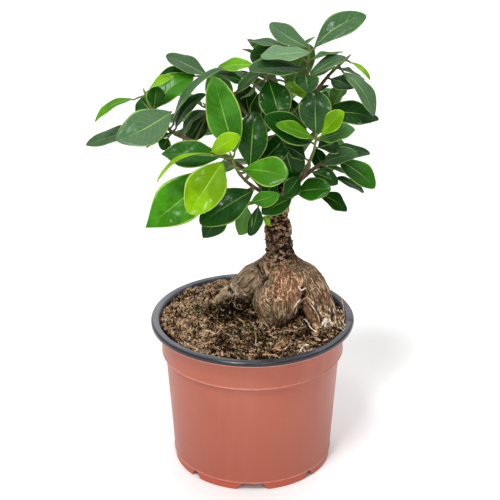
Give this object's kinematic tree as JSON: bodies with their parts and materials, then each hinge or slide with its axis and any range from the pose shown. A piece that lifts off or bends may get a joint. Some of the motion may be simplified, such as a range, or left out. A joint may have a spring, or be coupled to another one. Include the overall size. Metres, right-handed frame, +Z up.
{
  "type": "potted bonsai tree",
  "caption": "Young banyan bonsai with a swollen, lobed root base, a short rough trunk and an open crown of glossy oval leaves, growing in a round nursery pot of peat soil",
  "frame": {"origin": "bottom centre of the bounding box, on the plane the pot stands on", "axes": "+Z up along the pot's axis, -Y towards the front of the plant, +X to its right as seen from the front"},
  "size_m": [0.1694, 0.1434, 0.2711],
  "materials": {
    "terracotta_plastic": "satin, terracotta outside, charcoal lip and lining",
    "peat": "loose, moist, fibrous",
    "bark": "rough, dull",
    "leaf": "glossy, thick, dark green with some lime-green young leaves"
  },
  "bodies": {
    "root": {"pot": "terracotta_plastic", "soil": "peat", "rootstock": "bark", "leafy_stem_top": "leaf", "leafy_stem_right_twig": "leaf", "leafy_stem_front_right": "leaf", "leafy_stem_right": "leaf", "leafy_stem_low_right": "leaf", "leafy_stem_low_left": "leaf", "leafy_stem_front_left": "leaf", "leafy_stem_far_left": "leaf", "leafy_stem_top_left": "leaf", "leafy_stem_top_centre": "leaf", "leafy_stem_back_top": "leaf", "leafy_stem_back_left": "leaf", "leafy_stem_back_right": "leaf", "leafy_stem_back_low": "leaf"}
  },
  "joints": []
}
